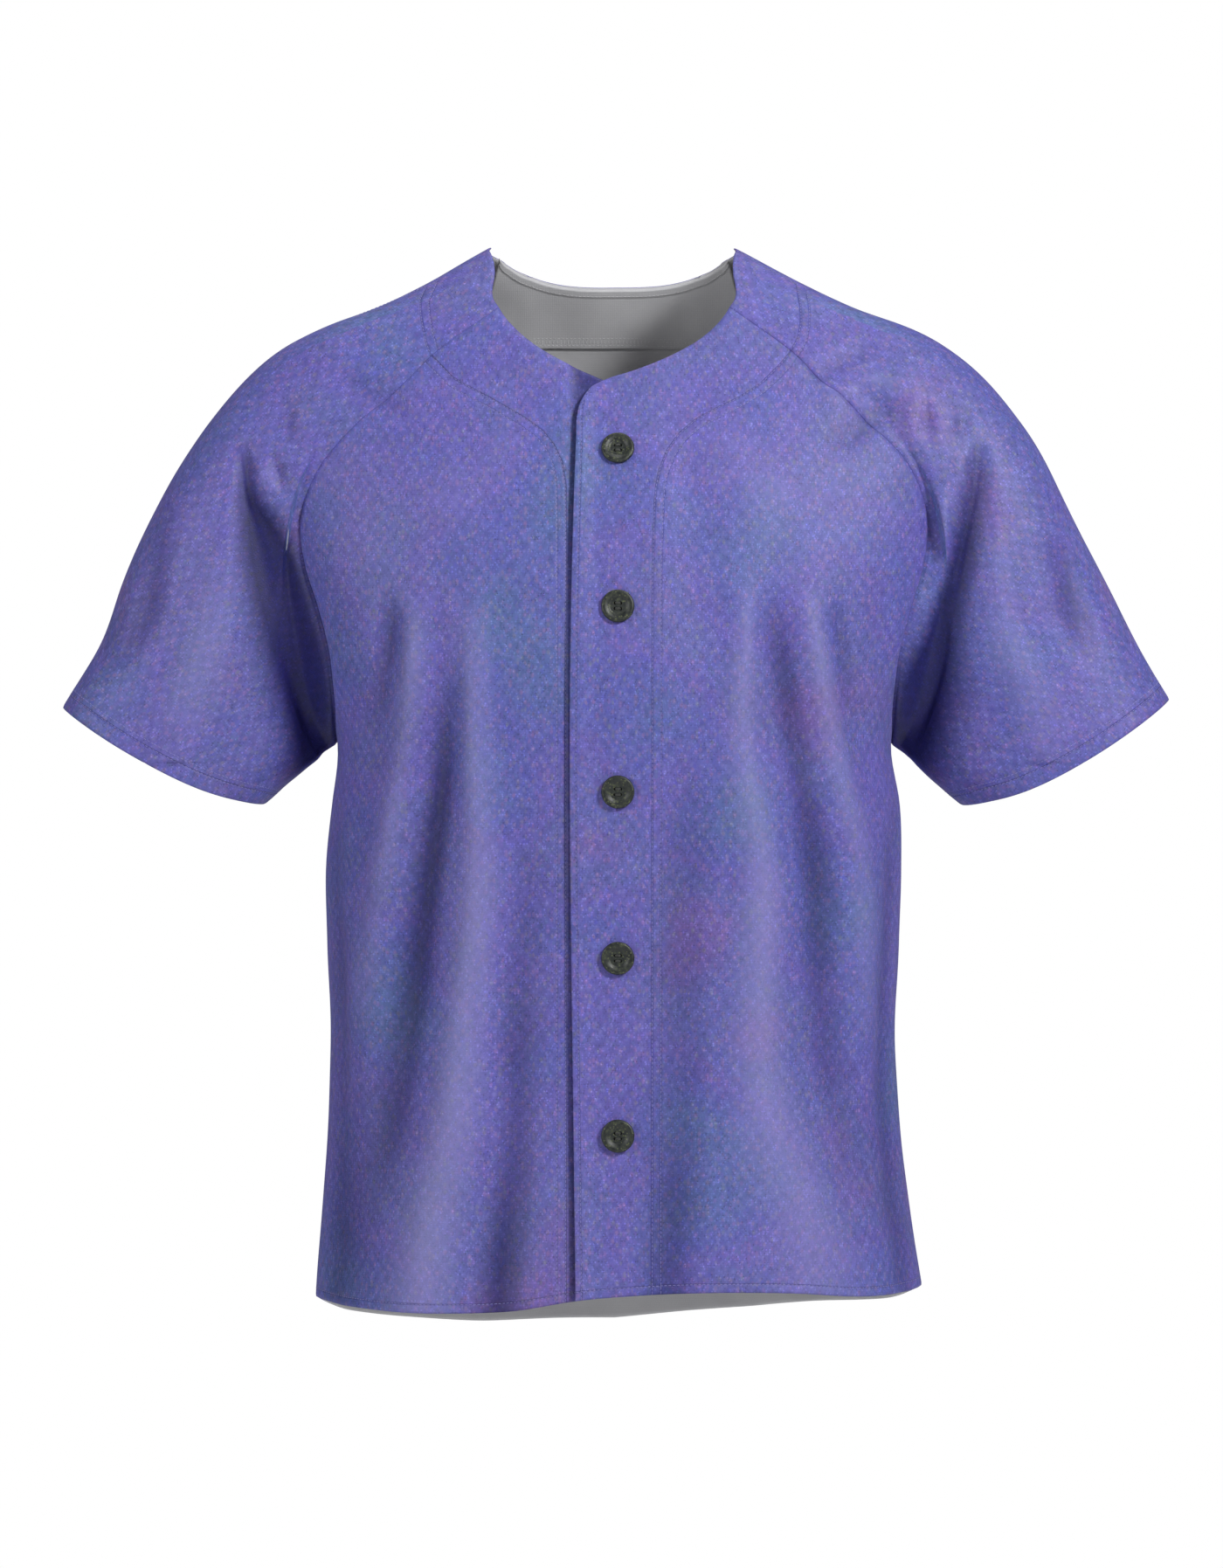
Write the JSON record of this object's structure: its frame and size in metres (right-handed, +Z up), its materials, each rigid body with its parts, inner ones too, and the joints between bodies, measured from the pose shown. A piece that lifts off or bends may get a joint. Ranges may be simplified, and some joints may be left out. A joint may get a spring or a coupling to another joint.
{
  "type": "baseball jersey",
  "caption": "Short-sleeved jersey with raglan sleeves, a full-length buttoned front and a plain round neck, filled out as if worn, hollow and open at neck, hem and cuffs.",
  "frame": {"origin": "on the middle of the garment, midway between the two points where the neck meets the shoulder line, and 10 mm below them", "axes": "+Z is up, the buttoned front faces -Y, and +X is towards the wearer's left sleeve"},
  "size_m": [0.7735, 0.2506, 0.7576],
  "materials": {
    "printed_cloth": "soft knit with an all-over speckled violet print, plain pale inside",
    "facing_cloth": "plain pale knit",
    "button_plastic": "near-black, satin, faintly mottled"
  },
  "bodies": {
    "root": {"front_left": "printed_cloth", "front_right": "printed_cloth", "back_panel": "printed_cloth", "sleeve_left": "printed_cloth", "sleeve_right": "printed_cloth", "neck_facing": "facing_cloth", "button_1": "button_plastic", "button_2": "button_plastic", "button_3": "button_plastic", "button_4": "button_plastic", "button_5": "button_plastic"}
  },
  "joints": []
}
